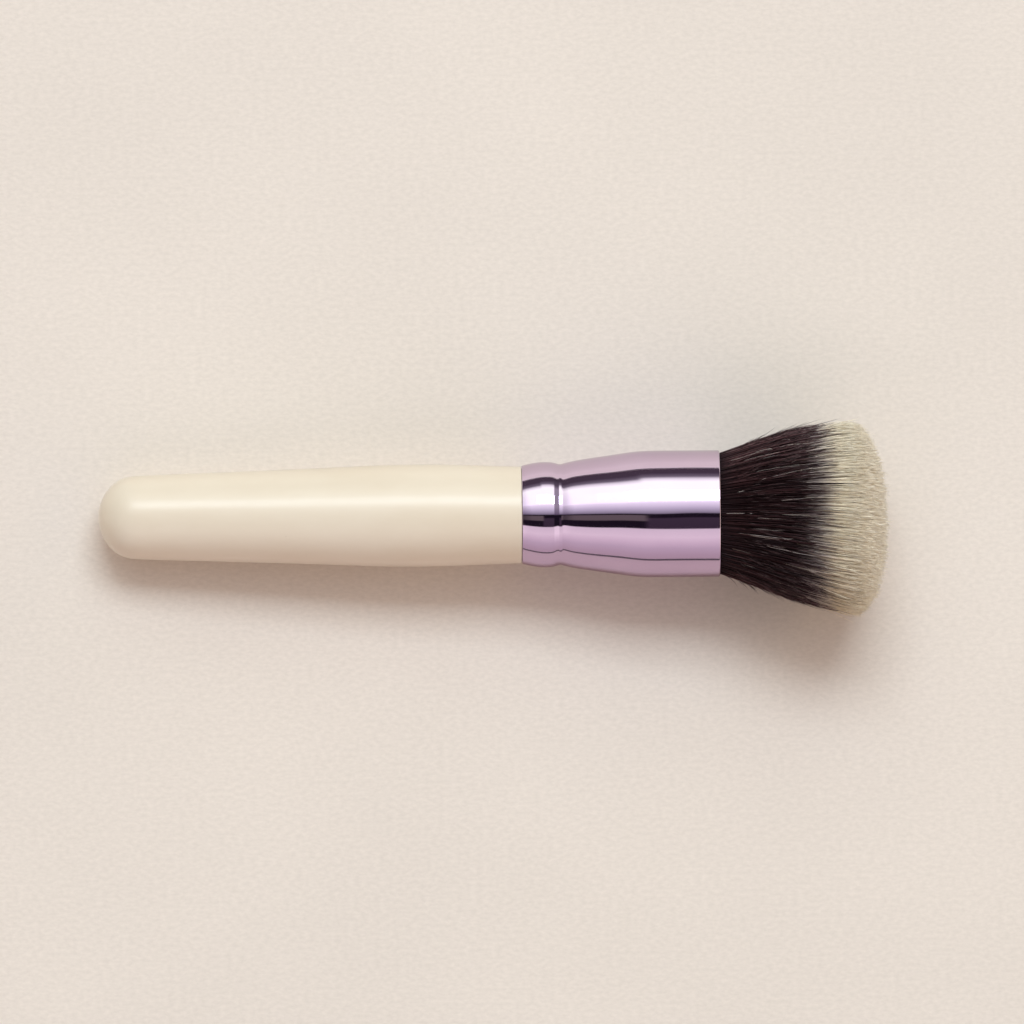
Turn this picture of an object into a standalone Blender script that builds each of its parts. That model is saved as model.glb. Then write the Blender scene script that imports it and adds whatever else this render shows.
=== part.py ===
"""A powder brush, lying on its side.

Lengths are in metres. Each piece is turned about the brush's own X axis, with the butt of the
handle at X = 0 and the fibre tips at the far end. The empty named brush_axis then lays the whole
brush on the ground plane, on its butt and on the widest of its fibres.
"""

import math
import random

import bmesh
import bpy
import numpy as np
from mathutils import Matrix, Vector

# Handle
HANDLE_LENGTH = 0.0834
BUTT_DOME_LENGTH = 0.0071
BUTT_RADIUS = 0.00825
GRIP_RADIUS = 0.00935
BELLY_RADIUS = 0.0101
SHOULDER_RADIUS = 0.00956
SHOULDER_ROUND = 0.00025
TENON_CHAMFER = 0.0008
GLUE_GROOVE_DEPTH = 0.0004
GLUE_GROOVE_WIDTH = 0.001
GLUE_GROOVES = 3
GRIP_PLACE_SHARE = 0.475
BELLY_PLACE_SHARE = 0.752

# Ferrule
FERRULE_LENGTH = 0.0391
FERRULE_WALL = 0.00045
RIM_STEP = 0.0001
RIM_ROUND = 0.0002
COLLAR_RADIUS = 0.01045
SWELL_RADIUS = 0.0114
MOUTH_RADIUS = 0.0125
LIP_LENGTH = 0.0005
LIP_DROP = 0.0003
CRIMP_WIDTH = 0.0009
CRIMP_DEPTH = 0.0003
COLLAR_START_SHARE = 0.12
COLLAR_END_SHARE = 0.19
CRIMP_PLACE_SHARE = 0.192
SWELL_PLACE_SHARE = 0.4
STRAIGHT_START_SHARE = 0.64

# Inside the ferrule, as shares of its length
RESIN_START_SHARE = 0.229
TENON_SHARE = 0.358
SLICE_SHARE = 0.077
SETTING_SHARE = 0.205

# Fibres
FIBRES_OUT = 0.0331
HEAD_RADIUS = 0.0191
WIDEST_FROM_MOUTH = 0.0235
SPREAD_ANGLE = math.radians(20.5)
TIP_DOME_LENGTH = 0.0087
TIP_DOME_RADIUS = 0.0194
HEAD_LEAN = 0.001
KNOT_EDGE = 0.0002
DARK_LENGTH = 0.0208
DARK_LENGTH_SPREAD = 0.0019
LIGHT_LENGTH_SPREAD = 0.0005
ROOT_STRAND_RADIUS = 0.0003
FINE_STRAND_RADIUS = 0.0002
FINE_STRAND_MID_RADIUS = 0.0003
DARK_STRAND_RADIUS = 0.0007
LIGHT_STRAND_RADIUS = 0.00085
DARK_FULL_SHARE = 0.62
FINE_MID_SHARE = 0.62
LIGHT_FULL_SHARE = 0.88
FIBRE_RINGS = 10
STRAND_SIDES = 3

# Fits and facets
FIT_GAP = 0.0003
TURNED_SIDES = 48
DOME_STEPS = 7
GRIP_STEPS = 5
BELLY_STEPS = 5
FERRULE_STEPS = 4
SMOOTH_ANGLE = math.radians(35)
REST_TRIES = 8
SEED = 7

# Places along the brush that several pieces share
RIM_X = HANDLE_LENGTH + FIT_GAP
MOUTH_X = RIM_X + FERRULE_LENGTH
RIM_RADIUS = SHOULDER_RADIUS + RIM_STEP
TENON_LENGTH = FERRULE_LENGTH * TENON_SHARE
TENON_END_X = HANDLE_LENGTH + TENON_LENGTH
TENON_RADIUS = RIM_RADIUS - FERRULE_WALL - FIT_GAP
CRIMP_X = RIM_X + FERRULE_LENGTH * CRIMP_PLACE_SHARE
SLICE_LENGTH = FERRULE_LENGTH * SLICE_SHARE
DARK_FRONT_X = MOUTH_X - FERRULE_LENGTH * SETTING_SHARE
DARK_BACK_X = DARK_FRONT_X - SLICE_LENGTH
LIGHT_FRONT_X = DARK_BACK_X - FIT_GAP
LIGHT_BACK_X = LIGHT_FRONT_X - SLICE_LENGTH
RESIN_START_X = RIM_X + FERRULE_LENGTH * RESIN_START_SHARE
RESIN_FRONT_X = LIGHT_BACK_X - FIT_GAP


def clear_scene():
    for thing in list(bpy.data.objects):
        bpy.data.objects.remove(thing, do_unlink=True)


def principled(name, colour, roughness, metallic=0.0, coat=0.0):
    material = bpy.data.materials.new(name)
    material.use_nodes = True
    shader = material.node_tree.nodes["Principled BSDF"]
    shader.inputs["Base Color"].default_value = (*colour, 1.0)
    shader.inputs["Roughness"].default_value = roughness
    shader.inputs["Metallic"].default_value = metallic
    shader.inputs["Coat Weight"].default_value = coat
    material.diffuse_color = (*colour, 1.0)
    return material


def add_piece(name, bm, material, carrier):
    mesh = bpy.data.meshes.new(name)
    bmesh.ops.recalc_face_normals(bm, faces=bm.faces)
    bm.to_mesh(mesh)
    bm.free()
    mesh.shade_smooth()
    mesh.set_sharp_from_angle(angle=SMOOTH_ANGLE)
    mesh.materials.append(material)
    piece = bpy.data.objects.new(name, mesh)
    piece.parent = carrier
    bpy.context.scene.collection.objects.link(piece)
    return piece


def monotone_curve(stations):
    """A smooth curve through (place, radius) stations that never swings past one of them."""
    places = [place for place, _ in stations]
    radii = [radius for _, radius in stations]
    spans = np.diff(places)
    secants = np.diff(radii) / spans
    slopes = [secants[0]]
    for before, after in zip(secants, secants[1:]):
        turns = before * after <= 0
        slopes.append(0.0 if turns else 2 * before * after / (before + after))
    slopes.append(secants[-1])

    def radius_at(place):
        last = len(spans) - 1
        i = min(max(int(np.searchsorted(places, place)) - 1, 0), last)
        t = min(max((place - places[i]) / spans[i], 0.0), 1.0)
        rise = radii[i + 1] - radii[i]
        ends = slopes[i] * t * (1 - t) ** 2 - slopes[i + 1] * t**2 * (1 - t)
        return radii[i] + rise * t**2 * (3 - 2 * t) + ends * spans[i]

    return radius_at


def between(start, end, steps):
    """The places from start to end in even steps, without the start itself."""
    return [start + (end - start) * step / steps for step in range(1, steps + 1)]


def turned(name, outline, material, carrier, closed_outline):
    """The solid that an outline of (x, radius) points sweeps round the X axis, with a flat below."""
    bm = bmesh.new()
    first_angle = -math.pi / 2 + math.pi / TURNED_SIDES
    along, across = math.cos(first_angle), math.sin(first_angle)
    verts = [bm.verts.new((x, r * along, r * across)) for x, r in outline]
    pairs = list(zip(verts, verts[1:]))
    if closed_outline:
        pairs.append((verts[-1], verts[0]))
    edges = [bm.edges.new(pair) for pair in pairs]
    bmesh.ops.spin(
        bm,
        geom=verts + edges,
        cent=Vector(),
        axis=Vector((1, 0, 0)),
        angle=2 * math.pi,
        steps=TURNED_SIDES,
        use_merge=True,
    )
    nearest = min(math.dist(a, b) for a, b in zip(outline, outline[1:]))
    bmesh.ops.remove_doubles(bm, verts=bm.verts, dist=nearest / TURNED_SIDES)
    return add_piece(name, bm, material, carrier)


def handle_outline():
    """From the middle of the butt, along the outside and over the shoulder, to the tenon's end."""
    outline = []
    for step in range(DOME_STEPS):
        turn = math.pi / 2 * step / DOME_STEPS
        outline.append((BUTT_DOME_LENGTH * (1 - math.cos(turn)), BUTT_RADIUS * math.sin(turn)))
    grip_x = HANDLE_LENGTH * GRIP_PLACE_SHARE
    belly_x = HANDLE_LENGTH * BELLY_PLACE_SHARE
    stations = [
        (BUTT_DOME_LENGTH, BUTT_RADIUS),
        (grip_x, GRIP_RADIUS),
        (belly_x, BELLY_RADIUS),
        (HANDLE_LENGTH, SHOULDER_RADIUS),
    ]
    radius_at = monotone_curve(stations)
    places = [BUTT_DOME_LENGTH]
    places += between(BUTT_DOME_LENGTH, grip_x, GRIP_STEPS)
    places += between(grip_x, belly_x, GRIP_STEPS)
    places += between(belly_x, HANDLE_LENGTH - SHOULDER_ROUND, BELLY_STEPS)
    outline += [(x, radius_at(x)) for x in places]
    outline.append((HANDLE_LENGTH, SHOULDER_RADIUS - SHOULDER_ROUND))
    return outline + tenon_outline()


def tenon_outline():
    """The tenon that goes into the ferrule, with turned grooves that key it into the glue."""
    outline = [(HANDLE_LENGTH, TENON_RADIUS)]
    straight = TENON_LENGTH - TENON_CHAMFER
    pitch = straight / (GLUE_GROOVES + 1)
    for groove in range(1, GLUE_GROOVES + 1):
        middle = HANDLE_LENGTH + groove * pitch
        floor = TENON_RADIUS - GLUE_GROOVE_DEPTH
        outline.append((middle - GLUE_GROOVE_WIDTH / 2, TENON_RADIUS))
        outline.append((middle, floor))
        outline.append((middle + GLUE_GROOVE_WIDTH / 2, TENON_RADIUS))
    outline.append((HANDLE_LENGTH + straight, TENON_RADIUS))
    outline.append((TENON_END_X, TENON_RADIUS - TENON_CHAMFER))
    outline.append((TENON_END_X, 0.0))
    return outline


def ferrule_curve():
    """The drawn tube's outer radius along the brush, before the crimp and the two rims."""
    stations = [
        (RIM_X, RIM_RADIUS),
        (RIM_X + FERRULE_LENGTH * COLLAR_START_SHARE, COLLAR_RADIUS),
        (RIM_X + FERRULE_LENGTH * COLLAR_END_SHARE, COLLAR_RADIUS),
        (RIM_X + FERRULE_LENGTH * SWELL_PLACE_SHARE, SWELL_RADIUS),
        (RIM_X + FERRULE_LENGTH * STRAIGHT_START_SHARE, MOUTH_RADIUS),
        (MOUTH_X, MOUTH_RADIUS),
    ]
    return monotone_curve(stations)


def bore_radius(x):
    return ferrule_curve()(x) - FERRULE_WALL


def ferrule_outline():
    """A closed loop: the outside from the back rim to the mouth, then the bore back again."""
    radius_at = ferrule_curve()
    crimp = (
        (CRIMP_X - CRIMP_WIDTH / 2, 0.0),
        (CRIMP_X - CRIMP_WIDTH / 6, CRIMP_DEPTH),
        (CRIMP_X + CRIMP_WIDTH / 6, CRIMP_DEPTH),
        (CRIMP_X + CRIMP_WIDTH / 2, 0.0),
    )
    straight_x = RIM_X + FERRULE_LENGTH * STRAIGHT_START_SHARE
    lip_x = MOUTH_X - LIP_LENGTH
    collar = between(RIM_X + RIM_ROUND, crimp[0][0], FERRULE_STEPS + 1)[:-1]
    swell = between(crimp[-1][0], straight_x, 2 * FERRULE_STEPS)
    dents = [(x, radius_at(x) - depth) for x, depth in crimp]
    body = [(x, radius_at(x)) for x in [RIM_X + RIM_ROUND] + collar]
    body += dents + [(x, radius_at(x)) for x in swell]
    body.append((lip_x, MOUTH_RADIUS))
    rim = (RIM_X, RIM_RADIUS - RIM_ROUND)
    lip_middle = (lip_x + LIP_LENGTH * 3 / 4, MOUTH_RADIUS - LIP_DROP / 2)
    lip_end = (MOUTH_X, MOUTH_RADIUS - LIP_DROP)
    bore = [(x, r - FERRULE_WALL) for x, r in reversed(body)]
    mouth_bore = (MOUTH_X, MOUTH_RADIUS - FERRULE_WALL)
    rim_bore = (RIM_X, RIM_RADIUS - FERRULE_WALL)
    return [rim] + body + [lip_middle, lip_end, mouth_bore] + bore[1:-1] + [rim_bore]


def resin_outline():
    """The set resin: a plug across the bore, with a socket that the end of the tenon stands in."""
    socket_x = TENON_END_X + FIT_GAP
    socket_radius = TENON_RADIUS + FIT_GAP
    outside = [RESIN_START_X] + between(RESIN_START_X, RESIN_FRONT_X, FERRULE_STEPS + 1)
    outline = [(socket_x, 0.0), (socket_x, socket_radius), (RESIN_START_X, socket_radius)]
    outline += [(x, bore_radius(x) - FIT_GAP) for x in outside]
    outline.append((RESIN_FRONT_X, 0.0))
    return outline


def outward_reach(strand_radius):
    """How far a strand's flat outer side stands from its middle."""
    return strand_radius * math.cos(math.pi / STRAND_SIDES)


KNOT_RADIUS = bore_radius(LIGHT_BACK_X) - FIT_GAP
OUTER_RING_RADIUS = KNOT_RADIUS - KNOT_EDGE - outward_reach(ROOT_STRAND_RADIUS)
WIDEST_RING_RADIUS = HEAD_RADIUS - outward_reach(LIGHT_STRAND_RADIUS)


def flare(out):
    """The outermost ring's radius at a distance out from the mouth: parallel, then spreading."""
    out = min(max(out, 0.0), WIDEST_FROM_MOUTH)
    straight = OUTER_RING_RADIUS + math.tan(SPREAD_ANGLE) * WIDEST_FROM_MOUTH
    curl = (straight - WIDEST_RING_RADIUS) / WIDEST_FROM_MOUTH**2
    return OUTER_RING_RADIUS + math.tan(SPREAD_ANGLE) * out - curl * out**2


def tip_distance(ring_share):
    """How far a ring's strands reach out of the mouth, under the rounded end of the head."""
    reach = min(ring_share * WIDEST_RING_RADIUS / TIP_DOME_RADIUS, 1.0)
    return FIBRES_OUT - TIP_DOME_LENGTH * (1 - math.sqrt(1 - reach**2))


def section(angle, ring_share, out, strand_radius):
    """The corners of a strand's section. Every ring keeps its share of the flare, so none cross."""
    radius = ring_share * flare(out)
    lean = HEAD_LEAN * (max(out, 0.0) / WIDEST_FROM_MOUTH) ** 2
    middle = Vector((MOUTH_X + out, radius * math.cos(angle) - lean, radius * math.sin(angle)))
    corners = []
    for side in range(STRAND_SIDES):
        turn = angle + math.pi * (2 * side + 1) / STRAND_SIDES
        offset = Vector((0.0, math.cos(turn), math.sin(turn)))
        corners.append(middle + strand_radius * offset)
    return corners


def dark_strand(angle, ring_share, length, root_out):
    stations = [
        (root_out, ROOT_STRAND_RADIUS),
        (0.0, ROOT_STRAND_RADIUS),
        (length * DARK_FULL_SHARE, DARK_STRAND_RADIUS),
        (length, 0.0),
    ]
    return [section(angle, ring_share, out, radius) for out, radius in stations]


def fine_light_strand(angle, ring_share, length, root_out):
    """A light strand of the outer ring: fine among the dark ones, and full beyond their ends."""
    stations = [
        (root_out, FINE_STRAND_RADIUS),
        (0.0, FINE_STRAND_RADIUS),
        (length * FINE_MID_SHARE, FINE_STRAND_MID_RADIUS),
        (length * LIGHT_FULL_SHARE, LIGHT_STRAND_RADIUS),
        (length, 0.0),
    ]
    return [section(angle, ring_share, out, radius) for out, radius in stations]


def light_strand(angle, ring_share, length, root_out):
    stations = [
        (root_out, ROOT_STRAND_RADIUS),
        (0.0, ROOT_STRAND_RADIUS),
        (length * LIGHT_FULL_SHARE, LIGHT_STRAND_RADIUS),
        (length, 0.0),
    ]
    return [section(angle, ring_share, out, radius) for out, radius in stations]


def ring_slots(ring):
    """The slots of a ring as (number, angle), counted from the lowest point of the brush."""
    count = max(6 * ring, 1)
    return [(slot, -math.pi / 2 + 2 * math.pi * slot / count) for slot in range(count)]


def dark_strands():
    """The outer two rings, where every second slot of the last one is left to a light strand."""
    chance = random.Random(SEED)
    root_out = DARK_FRONT_X - MOUTH_X
    strands = []
    for ring in (FIBRE_RINGS - 1, FIBRE_RINGS):
        for slot, angle in ring_slots(ring):
            length = DARK_LENGTH + chance.uniform(-DARK_LENGTH_SPREAD, DARK_LENGTH_SPREAD)
            if ring < FIBRE_RINGS or slot % 2 == 0:
                strands.append(dark_strand(angle, ring / FIBRE_RINGS, length, root_out))
    return strands


def light_strands():
    """The core of the head, and the light strands that show between the dark ones outside it."""
    chance = random.Random(SEED)
    root_out = LIGHT_FRONT_X - MOUTH_X
    strands = []
    for ring in range(FIBRE_RINGS - 1):
        share = ring / FIBRE_RINGS
        for _, angle in ring_slots(ring):
            length = tip_distance(share) - chance.uniform(0.0, LIGHT_LENGTH_SPREAD)
            strands.append(light_strand(angle, share, length, root_out))
    for slot, angle in ring_slots(FIBRE_RINGS):
        if slot % 2:
            length = tip_distance(1.0) - chance.uniform(0.0, LIGHT_LENGTH_SPREAD)
            strands.append(fine_light_strand(angle, 1.0, length, root_out))
    return strands


def circle(radius, sides):
    turns = [-math.pi / 2 + math.pi * (2 * side + 1) / sides for side in range(sides)]
    return [(radius * math.cos(turn), radius * math.sin(turn)) for turn in turns]


def notched_circle(radius):
    """The dark slice's edge, with a notch for each light strand of the outer ring."""
    half_width = FINE_STRAND_RADIUS * math.sin(math.pi / STRAND_SIDES) + FIT_GAP
    floor = OUTER_RING_RADIUS - FINE_STRAND_RADIUS - FIT_GAP
    edge = math.sqrt(radius**2 - half_width**2)
    points = []
    for slot, angle in ring_slots(FIBRE_RINGS):
        if slot % 2:
            out = Vector((math.cos(angle), math.sin(angle)))
            side = Vector((-out.y, out.x)) * half_width
            points += [out * edge - side, out * floor - side, out * floor + side, out * edge + side]
    return points


def wall_between(bm, points, back, front):
    """The side wall of a slice, and the edges of its two ends."""
    rear = [bm.verts.new((back, y, z)) for y, z in points]
    fore = [bm.verts.new((front, y, z)) for y, z in points]
    count = len(points)
    for i in range(count):
        j = (i + 1) % count
        bm.faces.new((rear[i], rear[j], fore[j], fore[i]))
    rear_edges = [bm.edges.get((rear[i], rear[(i + 1) % count])) for i in range(count)]
    fore_edges = [bm.edges.get((fore[i], fore[(i + 1) % count])) for i in range(count)]
    return rear_edges, fore_edges


def grow_strand(bm, sections):
    """The skin of one strand, left open at its root, and the edges of that opening."""
    rings = [[bm.verts.new(corner) for corner in corners] for corners in sections[:-1]]
    tip = bm.verts.new(sections[-1][0])
    for near, far in zip(rings, rings[1:]):
        for i in range(STRAND_SIDES):
            j = (i + 1) % STRAND_SIDES
            bm.faces.new((near[i], near[j], far[j], far[i]))
    for i in range(STRAND_SIDES):
        bm.faces.new((rings[-1][i], rings[-1][(i + 1) % STRAND_SIDES], tip))
    root = rings[0]
    return [bm.edges.get((root[i], root[(i + 1) % STRAND_SIDES])) for i in range(STRAND_SIDES)]


def fused_bundle(name, edges_of_slice, back, front, strands, material, carrier):
    """One closed body: a slice of the knot, and the strands that grow out of its front face."""
    bm = bmesh.new()
    rear_edges = []
    fore_edges = []
    for points in edges_of_slice:
        rear, fore = wall_between(bm, points, back, front)
        rear_edges += rear
        fore_edges += fore
    for sections in strands:
        fore_edges += grow_strand(bm, sections)
    bmesh.ops.triangle_fill(bm, edges=rear_edges, use_beauty=True, normal=(-1, 0, 0))
    bmesh.ops.triangle_fill(bm, edges=fore_edges, use_beauty=True, normal=(1, 0, 0))
    return add_piece(name, bm, material, carrier)


def build_handle(carrier):
    lacquer = principled("cream_lacquer", (0.80, 0.70, 0.56), 0.28, coat=1.0)
    return turned("handle", handle_outline(), lacquer, carrier, closed_outline=False)


def build_ferrule(carrier):
    anodised = principled("lilac_aluminium", (0.74, 0.62, 0.76), 0.12, metallic=1.0)
    return turned("ferrule", ferrule_outline(), anodised, carrier, closed_outline=True)


def build_resin_plug(carrier):
    resin = principled("amber_resin", (0.62, 0.46, 0.22), 0.35)
    return turned("resin_plug", resin_outline(), resin, carrier, closed_outline=False)


def build_dark_fibres(carrier):
    fibre = principled("dark_brown_fibre", (0.028, 0.016, 0.014), 0.55)
    light_ring = OUTER_RING_RADIUS * (FIBRE_RINGS - 2) / FIBRE_RINGS
    opening = light_ring + outward_reach(ROOT_STRAND_RADIUS) + FIT_GAP
    edges = (notched_circle(KNOT_RADIUS), circle(opening, TURNED_SIDES))
    strands = dark_strands()
    return fused_bundle("dark_fibres", edges, DARK_BACK_X, DARK_FRONT_X, strands, fibre, carrier)


def build_light_fibres(carrier):
    fibre = principled("cream_fibre", (0.60, 0.50, 0.37), 0.6)
    edges = (circle(KNOT_RADIUS, TURNED_SIDES),)
    strands = light_strands()
    return fused_bundle("light_fibres", edges, LIGHT_BACK_X, LIGHT_FRONT_X, strands, fibre, carrier)


def corners_of(piece):
    return np.array([vert.co[:] for vert in piece.data.vertices])


def resting_slope(handle, fibres):
    """The slope of the ground line that touches the handle and the fibres from below."""
    grip, head = corners_of(handle), corners_of(fibres)
    slope = 0.0
    for _ in range(REST_TRIES):
        lowest = head[np.argmin(head[:, 2] + slope * head[:, 0])]
        behind = grip[grip[:, 0] < lowest[0]]
        slope = np.min((behind[:, 2] - lowest[2]) / (lowest[0] - behind[:, 0]))
    return slope


def lay_on_ground(carrier, pieces, slope):
    """Turns the brush down onto its resting slope, over the origin, with its lowest points at Z = 0."""
    turn = Matrix.Rotation(-math.atan(slope), 4, "Y")
    corners = np.concatenate([corners_of(piece) for piece in pieces])
    corners = corners @ np.array(turn.to_3x3()).T
    low, high = corners.min(axis=0), corners.max(axis=0)
    place = Vector((-(low[0] + high[0]) / 2, -(low[1] + high[1]) / 2, -low[2]))
    carrier.matrix_world = Matrix.Translation(place) @ turn


def main():
    clear_scene()
    carrier = bpy.data.objects.new("brush_axis", None)
    bpy.context.scene.collection.objects.link(carrier)
    handle = build_handle(carrier)
    ferrule = build_ferrule(carrier)
    resin = build_resin_plug(carrier)
    dark = build_dark_fibres(carrier)
    light = build_light_fibres(carrier)
    lay_on_ground(carrier, (handle, ferrule, resin, dark, light), resting_slope(handle, light))


main()
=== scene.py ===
"""The looks of a powder brush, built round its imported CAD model.

Lengths are in metres. A place on the brush is given in the brush's own frame, which is measured
from the CAD nodes: along its axis from the butt of the handle, across it, and up from it.
"""

import math

import bpy
import numpy as np
from mathutils import Matrix, Vector


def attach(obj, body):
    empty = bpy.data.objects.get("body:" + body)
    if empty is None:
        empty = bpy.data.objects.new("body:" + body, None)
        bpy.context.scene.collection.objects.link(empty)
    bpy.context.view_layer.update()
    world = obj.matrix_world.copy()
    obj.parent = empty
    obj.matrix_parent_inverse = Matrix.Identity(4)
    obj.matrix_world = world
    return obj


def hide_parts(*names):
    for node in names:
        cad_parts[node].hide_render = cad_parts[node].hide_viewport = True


SEED = 11

# The photograph's view: its width at the brush, its tilt and roll, and where the back rim lies in it
PICTURE_WIDTH = 0.2024
PICTURE_PIXELS = 1024
RIM_PIXEL = (521.8, 514.85)
VIEW_TILT = math.radians(0.8)
VIEW_ROLL = math.radians(0.4)
LENS_MM = 700.0
SENSOR_MM = 36.0
CLIP_START = 0.1
CLIP_END = 20.0

# The lamp, as a window seen from the brush: its angle from straight up, its angle towards the
# tips, its half sizes as angles, and its light
LAMP_DISTANCE = 3.0
LAMP_FROM_ZENITH = 34.0
LAMP_TOWARDS_TIPS = 2.0
LAMP_HALF_HEIGHT = 9.0
LAMP_HALF_WIDTH = 18.0
LAMP_WATTS = 50.5
LAMP_COLOUR = (0.78, 0.905, 1.0)

# What the room shows at each angle from straight up, negative on the lower side of the picture
ROOM_BANDS = (
    (-90.0, (0.49, 0.38, 0.39)),
    (-81.0, (0.525, 0.406, 0.431)),
    (-67.0, (0.60, 0.49, 0.52)),
    (-55.0, (0.76, 0.63, 0.65)),
    (-44.0, (0.89, 0.77, 0.76)),
    (-28.2, (0.80, 0.70, 0.70)),
    (-26.8, (0.045, 0.030, 0.045)),
    (-8.0, (0.052, 0.036, 0.052)),
    (-6.0, (0.012, 0.008, 0.014)),
    (0.0, (0.012, 0.008, 0.014)),
    (1.5, (0.27, 0.25, 0.29)),
    (10.0, (0.62, 0.60, 0.66)),
    (21.0, (1.10, 1.08, 1.10)),
    (24.0, (1.50, 1.50, 1.50)),
    (61.0, (1.45, 1.55, 1.35)),
    (67.0, (1.00, 1.03, 0.95)),
    (72.0, (0.20, 0.18, 0.20)),
    (80.0, (0.07, 0.052, 0.068)),
    (90.0, (0.07, 0.052, 0.065)),
)
# The same towards the handle, where its dark part has a lighter patch in it
PATCHED_BANDS = (
    *ROOM_BANDS[:6],
    (-27.0, (0.012, 0.008, 0.014)),
    (-13.5, (0.012, 0.008, 0.014)),
    (-12.5, (0.135, 0.112, 0.107)),
    (-2.4, (0.135, 0.112, 0.107)),
    (-1.4, (0.015, 0.012, 0.018)),
    *ROOM_BANDS[9:14],
    (58.0, (1.45, 1.55, 1.35)),
    (64.0, (1.00, 1.03, 0.95)),
    (69.0, (0.20, 0.18, 0.20)),
    (77.0, (0.07, 0.052, 0.068)),
    ROOM_BANDS[-1],
)
PATCH_START = -0.10
PATCH_END = -0.16
# The same towards the tips, past the end of the window
DIM_BANDS = (
    (-90.0, (0.49, 0.38, 0.39)),
    (-67.0, (0.64, 0.52, 0.55)),
    (-45.0, (1.05, 0.92, 0.90)),
    (-28.2, (1.00, 0.88, 0.86)),
    (-26.8, (0.012, 0.008, 0.014)),
    (-1.0, (0.012, 0.008, 0.014)),
    (1.5, (0.16, 0.13, 0.18)),
    (20.0, (0.36, 0.33, 0.36)),
    (60.0, (0.36, 0.33, 0.36)),
    (70.0, (0.12, 0.10, 0.12)),
    (90.0, (0.045, 0.035, 0.045)),
)
DIM_START = 0.30
DIM_END = 0.38
# A softer end of the window towards the handle
SOFT_START = -0.42
SOFT_END = -0.56
SOFT_SHARE = 0.5
# What it shows towards its ends, by the share of the way that lies along the brush
ROOM_ENDS = (
    (-1.0, (0.28, 0.24, 0.21)),
    (-0.88, (0.30, 0.26, 0.23)),
    (-0.80, (0.50, 0.40, 0.28)),
    (-0.65, (0.50, 0.40, 0.28)),
    (0.65, (1.15, 0.90, 0.62)),
    (0.80, (1.15, 0.90, 0.62)),
    (0.88, (0.90, 0.79, 0.64)),
    (1.0, (0.90, 0.82, 0.72)),
)
ENDS_START = 0.60
ENDS_FULL = 0.70

# The floor, and the darker table that only reflections show: on the lower side of the picture a near
# part, partly a painted shade of the floor by the brush, and its dark edge, and on the upper side
# the brush's own painted shade and a dark edge far off
FLOOR_HALF_SIZE = 4.0
TABLE_NEAR = 0.012
TABLE_EDGE_NEAR = 0.28
TABLE_EDGE_FAR = 2.40
TABLE_UPPER_NEAR = 0.50
SHADE_NEAR = 0.0128
SHADE_FAR = 0.09
TABLE_HALF_LENGTH = 3.0
TABLE_HEIGHT = 0.0008
TABLE_AND_SHADE_TONES = ((0.53, 0.42, 0.40), (0.56, 0.44, 0.42))
SHADE_TONES = ((0.64, 0.56, 0.50), (0.80, 0.72, 0.65))
EDGE_TONES = ((0.06, 0.045, 0.055), (0.07, 0.05, 0.06))

# Turned surfaces: their sides, and the steps, the softening and the corners of their outlines
TURNED_SIDES = 192
OUTLINE_STEP = 0.0005
OUTLINE_SOFTNESS = 0.001
SOFTNESS_REACH = 3
CORNER_STEPS = 5
# How near two places or radii of the CAD are when they are the same
SAME_PLACE = 0.00002
POINT_DECIMALS = 7
# How far the handle's shoulder reaches past the CAD's to meet the ferrule, and its round edge
HANDLE_REACH = 0.0002
SHOULDER_ROUND = 0.00008
# Where the groove of the ferrule's collar lies, as a share of the ferrule's length
CRIMP_PLACE_SHARE = 0.1948
COLLAR_STEP = 0.00007
# The slopes of the collar from its rim, over its swell and the rolled groove, up to the body, each
# at its distance from the groove
COLLAR_SLOPES = (
    (-0.00760, 0.30),
    (-0.00670, 0.25),
    (-0.00590, 0.215),
    (-0.00500, 0.165),
    (-0.00420, 0.11),
    (-0.00340, 0.045),
    (-0.00280, 0.0),
    (-0.00200, -0.07),
    (-0.00150, -0.15),
    (-0.00125, -0.22),
    (-0.00080, -0.29),
    (-0.00045, -0.27),
    (-0.00015, -0.03),
    (0.00005, 0.02),
    (0.00028, 0.26),
    (0.00060, 0.295),
    (0.00110, 0.28),
    (0.00170, 0.245),
    (0.00260, 0.205),
    (0.00500, 0.165),
)
# The first of the ferrule's rings whose outside and bore lie a full wall apart
WALL_RING = 3
BORE_STEP = 4
LIP_ROUND = 0.0003
RIM_ROUND = 0.0001
WAVE_HEIGHT = 0.0000045
# The waves of the drawn metal, as lobes round it and the length of each wave along it
WAVES = ((2, 0.031), (3, 0.017), (5, 0.023), (7, 0.012), (9, 0.019))

# Patterns: how often each repeats in a metre along the three axes, its detail and its roughness
LACQUER_MOTTLE = ((30.0, 60.0, 60.0), 5.0, 0.6)
LACQUER_SPECKS = ((900.0, 900.0, 900.0), 1.0, 0.5)
LACQUER_FLOW = ((500.0, 1500.0, 1500.0), 3.0, 0.5)
LACQUER_PEEL = ((260.0, 420.0, 420.0), 2.0, 0.5)
METAL_CLOUD = ((70.0, 90.0, 90.0), 4.0, 0.6)
METAL_DRAWN = ((6000.0, 500.0, 500.0), 3.0, 0.6)
RESIN_SWIRL = ((120.0, 120.0, 120.0), 4.0, 0.6)
FIBRE_GRAIN = ((400.0, 2400.0, 2400.0), 2.0, 0.5)
PAPER_GRAIN = ((780.0, 1400.0, 300.0), 3.0, 0.55)
PAPER_CLOUD = ((14.0, 18.0, 18.0), 3.0, 0.5)
# The pattern's values between which a tone or a roughness turns from its first to its second
TURN = (0.3, 0.7)
SPECK_TURN = (0.82, 0.86)
DRAWN_TURN = (0.35, 0.75)
CLOUD_TURN = (0.35, 0.65)
SHADOW_STROKE_TURN = (0.57, 0.64)
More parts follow.
